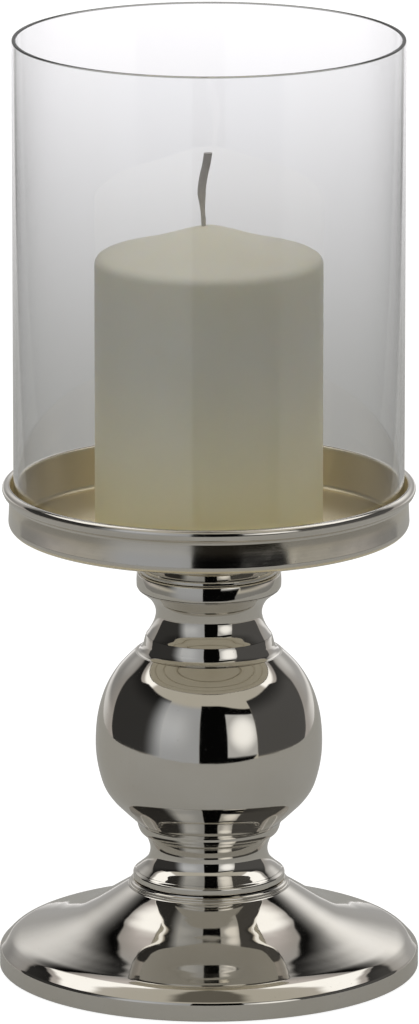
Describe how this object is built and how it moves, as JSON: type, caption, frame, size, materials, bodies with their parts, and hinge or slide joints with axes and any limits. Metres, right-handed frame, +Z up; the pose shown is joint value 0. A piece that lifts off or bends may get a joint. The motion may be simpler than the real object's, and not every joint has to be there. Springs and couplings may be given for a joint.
{
  "type": "hurricane candle lantern",
  "caption": "Table hurricane lantern: clear open glass cylinder and ivory pillar candle in a lipped round tray on a turned, plated ball stem with a wide round foot.",
  "frame": {"origin": "on the table surface, under the middle of the round foot", "axes": "+Z up along the stem's axis; the stand, tray and glass are round about Z, and the wick stands a little to -X"},
  "size_m": [0.1468, 0.1468, 0.3305],
  "materials": {
    "plated_metal": "polished nickel-type plating",
    "zinc_steel": "bright zinc",
    "blackened_steel": "blackened",
    "clear_glass": "clear, ground rims",
    "ivory_wax": "satin wax",
    "cotton_wick": "braided cotton, waxed",
    "tin_plate": "tinned",
    "felt": "pressed felt"
  },
  "bodies": {
    "stand": {"felt_pad": "felt", "foot_shell": "plated_metal", "base_plate": "blackened_steel", "base_washer": "zinc_steel", "spring_washer": "zinc_steel", "base_nut": "zinc_steel", "foot_collar_ring": "plated_metal", "lower_spool": "plated_metal", "lower_step_ring": "plated_metal", "ball_shell": "plated_metal", "ball_spacer_tube": "zinc_steel", "upper_step_ring": "plated_metal", "upper_spool": "plated_metal", "upper_bead_collar": "plated_metal", "capital_disc": "plated_metal", "tray_flange": "plated_metal", "tray_pan": "plated_metal", "tray_washer": "zinc_steel", "top_nut": "zinc_steel", "tie_rod": "zinc_steel"},
    "glass": {"glass_cylinder": "clear_glass"},
    "candle": {"candle_wax": "ivory_wax", "candle_wick": "cotton_wick", "wick_clip": "tin_plate"}
  },
  "joints": [
    {"name": "glass_lift", "type": "slide", "parent": "stand", "child": "glass", "axis": [0, 0, 1], "range_m": [0, 0.2]},
    {"name": "candle_lift", "type": "slide", "parent": "stand", "child": "candle", "axis": [0, 0, 1], "range_m": [0, 0.2]}
  ]
}
